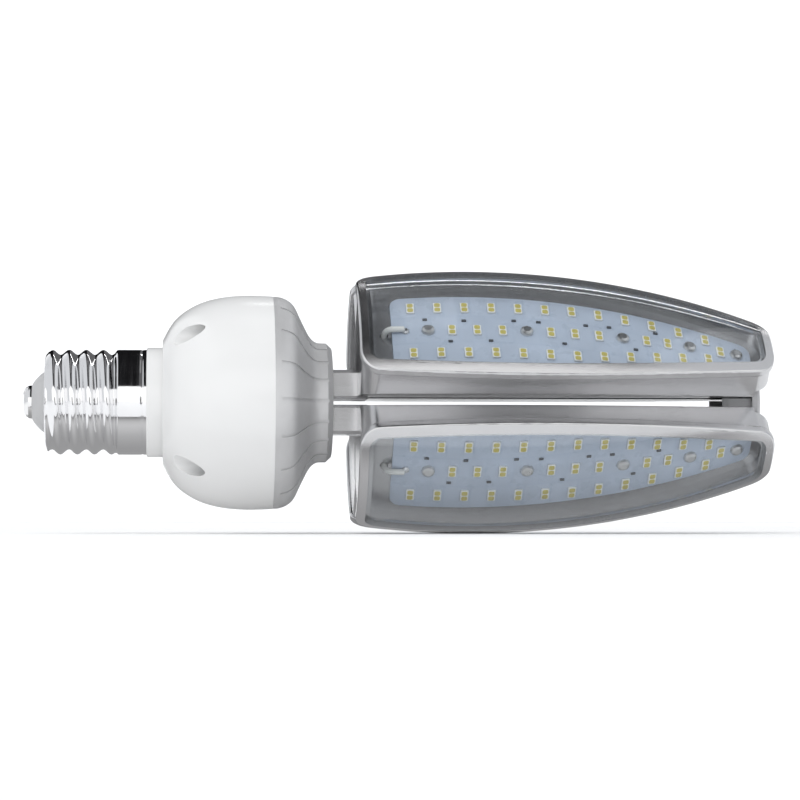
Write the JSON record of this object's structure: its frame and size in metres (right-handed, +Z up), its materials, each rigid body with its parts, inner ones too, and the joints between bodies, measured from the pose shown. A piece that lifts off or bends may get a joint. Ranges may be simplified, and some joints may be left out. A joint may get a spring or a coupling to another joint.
{
  "type": "led street lamp bulb",
  "caption": "Screw-base LED street lamp bulb: white driver housing, cast aluminium base and aluminium petals that carry bent LED boards under clear barrel-shaped covers.",
  "frame": {"origin": "tip of the centre contact, on the lamp's axis", "axes": "+X along the lamp's axis from the screw cap to the tip, +Z up as the lamp lies on its two lower petals, +Y completes the right-handed frame"},
  "size_m": [0.2789, 0.0982, 0.0982],
  "materials": {
    "cap_metal": "bright nickel plate on a drawn and rolled sheet shell",
    "contact_metal": "bright plated contact button",
    "insulator": "matt grey moulded insulator",
    "housing_white": "smooth white moulding",
    "seal_clear": "clear silicone",
    "base_metal": "die-cast aluminium, satin",
    "petal_metal": "anodised aluminium, satin",
    "led_board": "pale solder mask on an aluminium board",
    "led_package": "white package with yellow phosphor",
    "screw_steel": "zinc-plated steel",
    "cover_clear": "clear polycarbonate",
    "end_cap_grey": "silver-grey moulding",
    "circuit_board": "solder mask on glass-epoxy",
    "ferrite": "dark ferrite",
    "winding": "enamelled copper winding",
    "capacitor_sleeve": "shrink sleeve",
    "film_box": "yellow potted box",
    "fuse_glass": "ceramic tube",
    "terminal": "moulded terminal block",
    "lead_live": "silicone-sleeved lead",
    "lead_neutral": "silicone-sleeved lead",
    "lead_petal": "white two-core lead"
  },
  "bodies": {
    "root": {"base": "base_metal", "board_screws_1": "screw_steel", "board_screws_2": "screw_steel", "board_screws_3": "screw_steel", "board_screws_4": "screw_steel", "cap_insulator": "insulator", "centre_contact": "contact_metal", "choke": "ferrite", "clamp_ring": "housing_white", "cover_1": "cover_clear", "cover_2": "cover_clear", "cover_3": "cover_clear", "cover_4": "cover_clear", "driver_board": "circuit_board", "driver_housing": "housing_white", "end_cap": "end_cap_grey", "film_capacitor": "film_box", "foot_screws": "screw_steel", "fuse": "fuse_glass", "housing_screws": "screw_steel", "led_board_1": "led_board", "led_board_2": "led_board", "led_board_3": "led_board", "led_board_4": "led_board", "led_chips_1": "led_package", "led_chips_2": "led_package", "led_chips_3": "led_package", "led_chips_4": "led_package", "live_lead": "lead_live", "neutral_lead": "lead_neutral", "output_terminal": "terminal", "petal_1": "petal_metal", "petal_2": "petal_metal", "petal_3": "petal_metal", "petal_4": "petal_metal", "petal_lead_1": "lead_petal", "petal_lead_2": "lead_petal", "petal_lead_3": "lead_petal", "petal_lead_4": "lead_petal", "screw_shell": "cap_metal", "seal_ring": "seal_clear", "smoothing_capacitor": "capacitor_sleeve", "transformer_coil": "winding", "transformer_core": "ferrite"}
  },
  "joints": []
}
